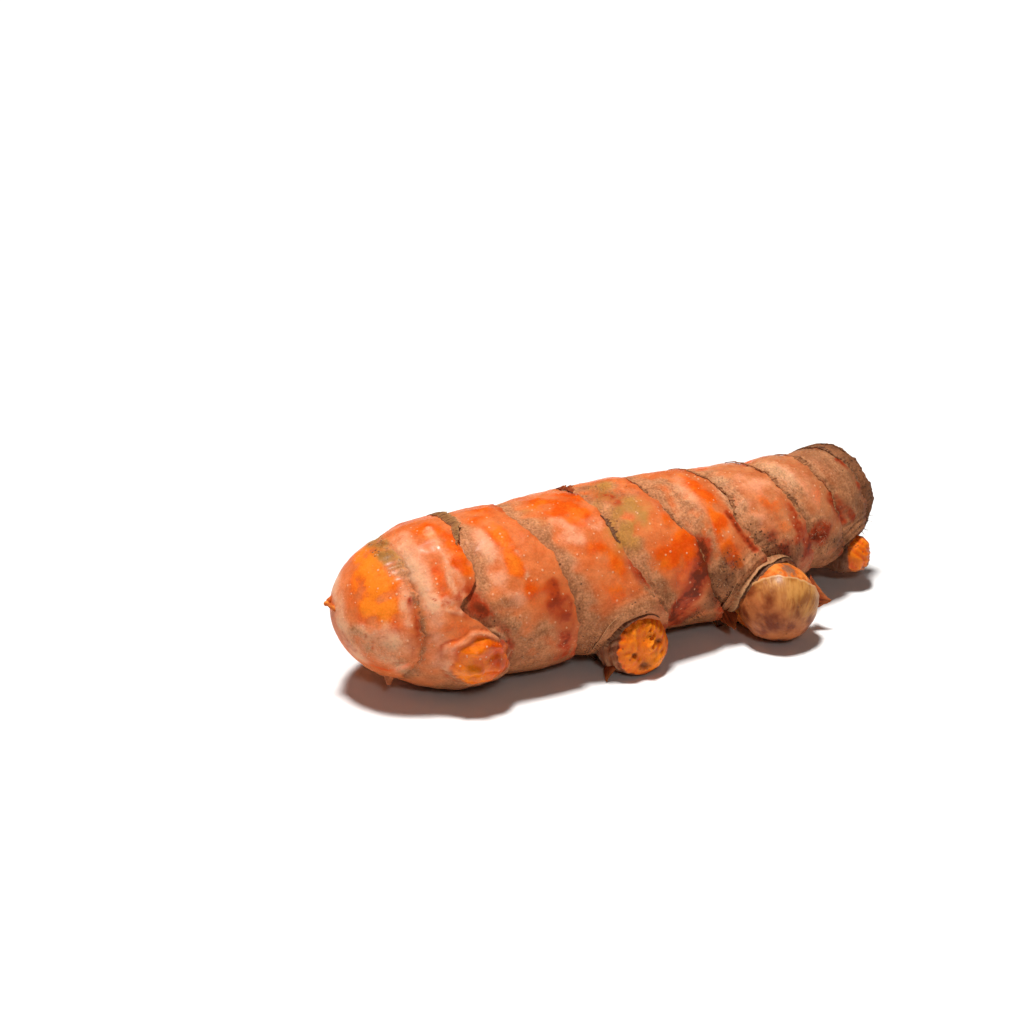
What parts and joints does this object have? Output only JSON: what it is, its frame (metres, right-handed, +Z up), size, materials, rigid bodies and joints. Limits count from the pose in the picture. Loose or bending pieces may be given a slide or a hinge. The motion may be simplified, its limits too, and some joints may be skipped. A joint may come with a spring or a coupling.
{
  "type": "turmeric rhizome",
  "caption": "Fresh turmeric root, a bent and ringed rhizome with side buds, a rounded growing tip and a dry broken end.",
  "frame": {"origin": "bottom centre of the bounding box, on the table that the root lies on", "axes": "+X along the root, from its rounded growing tip to its broken end; -Y is the side with the large buds; +Z up"},
  "size_m": [0.0924, 0.0342, 0.0256],
  "materials": {
    "rhizome_skin": "moist orange skin that goes pink and tan, with dry grey-brown rings"
  },
  "bodies": {
    "root": {"turmeric_rhizome": "rhizome_skin"}
  },
  "joints": []
}
